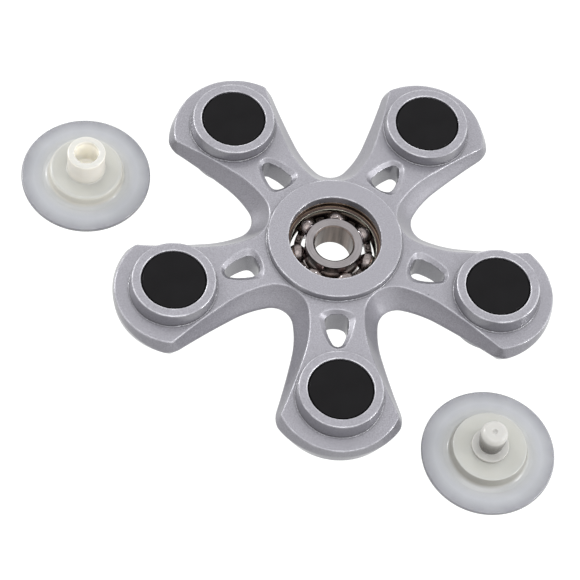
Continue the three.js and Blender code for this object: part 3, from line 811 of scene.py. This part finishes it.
FLANGE_R, FLANGE_TOP, BOSS_TOP = 13.65, 1.0, 3.6
TUBE_R, TUBE_TOP, TUBE_FLOOR = 3.98, 9.8, 3.2
COLLAR_R, COLLAR_TOP, PEG_R, PEG_TOP = 3.8, 4.4, 2.74, 10.45
CAP_FOOT = [
    (0, 0), (FLANGE_R, 0, 0.3), (FLANGE_R, FLANGE_TOP, 0.35), (9.2, FLANGE_TOP, 0.8),
    (7.95, 1.3, 0.9),
]
SOCKET_PROFILE = CAP_FOOT + [
    (7.6, BOSS_TOP, 0.6), (TUBE_R, BOSS_TOP, 0.3), (TUBE_R, TUBE_TOP, 0.4),
    (2.52, TUBE_TOP, 0.45), (2.5, TUBE_FLOOR, 0.4), (0, TUBE_FLOOR),
]
PEG_PROFILE = CAP_FOOT + [
    (7.55, BOSS_TOP, 0.25), (COLLAR_R, BOSS_TOP, 0.08), (COLLAR_R, COLLAR_TOP, 0.12),
    (2.3, COLLAR_TOP, 0.1), (2.45, 5.0, 0.8), (2.72, 7.4, 3), (PEG_R, PEG_TOP, 1.7),
    (0.62, PEG_TOP, 0.15), (0.35, 10.12, 0.15), (0, 10.1),
]
socket_nylon = milky_nylon(
    "socket_nylon", boss=(0.264, 0.264, 0.242), boss_wall_shading=(0.39, 0.38, 0.34),
    stem_wall_shading=(0.53, 0.51, 0.465), stem_top=(0.31, 0.307, 0.288), bore=2.7)
peg_nylon = milky_nylon(
    "peg_nylon", boss=(0.24, 0.241, 0.222), boss_wall_shading=(0.22, 0.216, 0.195),
    stem_wall_shading=(0.32, 0.315, 0.3), stem_top=(0.262, 0.259, 0.248), neck=9.4)
for name, profile, nylon in (("cap_socket", SOCKET_PROFILE, socket_nylon),
                             ("cap_peg", PEG_PROFILE, peg_nylon)):
    add_turned(f"finger_{name}", profile, (*CAPS[name], 0), nylon, name, "cap_plastic", [name],
               sides=128, steps=6)

# ------------------------------------------------------------------ stage, light and camera

# The camera's angles are in degrees: round from the front, up from the floor, and its roll.
CAMERA_TARGET = HUB + Vector((-9.697, -12.674, 5.95)) * MM
CAMERA_AZIMUTH, CAMERA_ELEVATION, CAMERA_ROLL = map(math.radians, (-10.261, 60.733, 10.103))
CAMERA_DISTANCE, CAMERA_LENS, SENSOR = 0.50328, 153.63, 36


def add_camera():
    a, e, roll = CAMERA_AZIMUTH, CAMERA_ELEVATION, CAMERA_ROLL
    back = Vector((math.sin(a) * math.cos(e), -math.cos(a) * math.cos(e), math.sin(e)))
    right = Vector((math.cos(a), math.sin(a), 0))
    up = back.cross(right)
    tilted = right * math.cos(roll) + up * math.sin(roll)
    upright = up * math.cos(roll) - right * math.sin(roll)
    data = bpy.data.cameras.new("camera")
    data.lens, data.sensor_width = CAMERA_LENS, SENSOR
    data.clip_start, data.clip_end = 0.01, 10
    camera = bpy.data.objects.new("camera", data)
    turn = Matrix((tilted, upright, back)).transposed().to_4x4()
    camera.matrix_world = Matrix.Translation(CAMERA_TARGET + back * CAMERA_DISTANCE) @ turn
    bpy.context.scene.collection.objects.link(camera)
    bpy.context.scene.camera = camera


FLOOR_DROP, FLOOR_HALF = 0.0001, 2


def add_floor():
    """A white floor that glows, just below the bosses and the caps."""
    n = Nodes("floor_white")
    n.link(n.mix(n.noise(6, 2), (0.045, 0.045, 0.045), (0.055, 0.055, 0.055)),
           n.shader.inputs["Base Color"])
    n.set(Roughness=0.9, Specular_IOR_Level=0.0, Emission_Color=(0.992, 1, 0.992, 1),
          Emission_Strength=1.1)
    mesh = bpy.data.meshes.new("floor")
    corners = [(x * FLOOR_HALF, y * FLOOR_HALF, -FLOOR_DROP)
               for x, y in ((-1, -1), (1, -1), (1, 1), (-1, 1))]
    mesh.from_pydata(corners, [], [(0, 1, 2, 3)])
    mesh.materials.append(n.material)
    floor = bpy.data.objects.new("floor", mesh)
    bpy.context.scene.collection.objects.link(floor)


LIGHT_DISTANCE = 0.8
# Each light's azimuth in degrees from +X, elevation in degrees, radius in metres and radiance.
LIGHTS = {
    "softbox_top": (-90, 72, 0.3, 1.9),
    "softbox_right": (-10, 28, 0.3, 2.2),
    "softbox_left": (150, 28, 0.3, 2.4),
    "strobe_right": (-15, 42, 0.05, 50),
    "strobe_left": (140, 38, 0.05, 50),
}


def add_light(name, azimuth, elevation, radius, radiance):
    """Round light that faces the hub from a direction."""
    a, e = math.radians(azimuth), math.radians(elevation)
    away = Vector((math.cos(a) * math.cos(e), math.sin(a) * math.cos(e), math.sin(e)))
    data = bpy.data.lights.new(name, "AREA")
    data.shape, data.size = "DISK", 2 * radius
    data.energy = radiance * math.pi * math.pi * radius ** 2
    light = bpy.data.objects.new(name, data)
    light.location = HUB + away * LIGHT_DISTANCE
    light.rotation_mode = "QUATERNION"
    light.rotation_quaternion = away.to_track_quat("Z", "Y")
    bpy.context.scene.collection.objects.link(light)


WORLD_STRENGTH, DARK_TONE = 2.0, (0.4, 0.39, 0.39, 1)
DARK_SIDE = -140                               # degrees from +X
SIDE_FADE, HEIGHT_FADE = (0.1, 0.8), (0.7, 0.25)


def add_world():
    """Even white surroundings that are darker low down on the dark side."""
    world = bpy.data.worlds.new("studio")
    world.use_nodes = True
    tree = world.node_tree
    split = tree.nodes.new("ShaderNodeSeparateXYZ")
    seen = tree.nodes.new("ShaderNodeTexCoord").outputs["Generated"]
    tree.links.new(seen, split.inputs[0])
    toward = tree.nodes.new("ShaderNodeVectorMath")
    toward.operation = "DOT_PRODUCT"
    toward.inputs[1].default_value = (*facing(DARK_SIDE), 0)
    tree.links.new(seen, toward.inputs[0])
    fades = []
    for source, (low, high) in ((toward.outputs["Value"], SIDE_FADE),
                                (split.outputs[2], HEIGHT_FADE)):
        fade = tree.nodes.new("ShaderNodeMapRange")
        fade.inputs["From Min"].default_value = low
        fade.inputs["From Max"].default_value = high
        tree.links.new(source, fade.inputs["Value"])
        fades.append(fade.outputs["Result"])
    both = tree.nodes.new("ShaderNodeMath")
    both.operation = "MULTIPLY"
    for fade, socket in zip(fades, both.inputs):
        tree.links.new(fade, socket)
    tone = tree.nodes.new("ShaderNodeMix")
    tone.data_type = "RGBA"
    tone.inputs[6].default_value = (1, 1, 1, 1)
    tone.inputs[7].default_value = DARK_TONE
    tree.links.new(both.outputs[0], tone.inputs[0])
    tree.links.new(tone.outputs[2], tree.nodes["Background"].inputs["Color"])
    tree.nodes["Background"].inputs["Strength"].default_value = WORLD_STRENGTH
    bpy.context.scene.world = world
    bpy.context.scene.view_settings.view_transform = "Standard"


add_camera()
add_floor()
for name, settings in LIGHTS.items():
    add_light(name, *settings)
add_world()
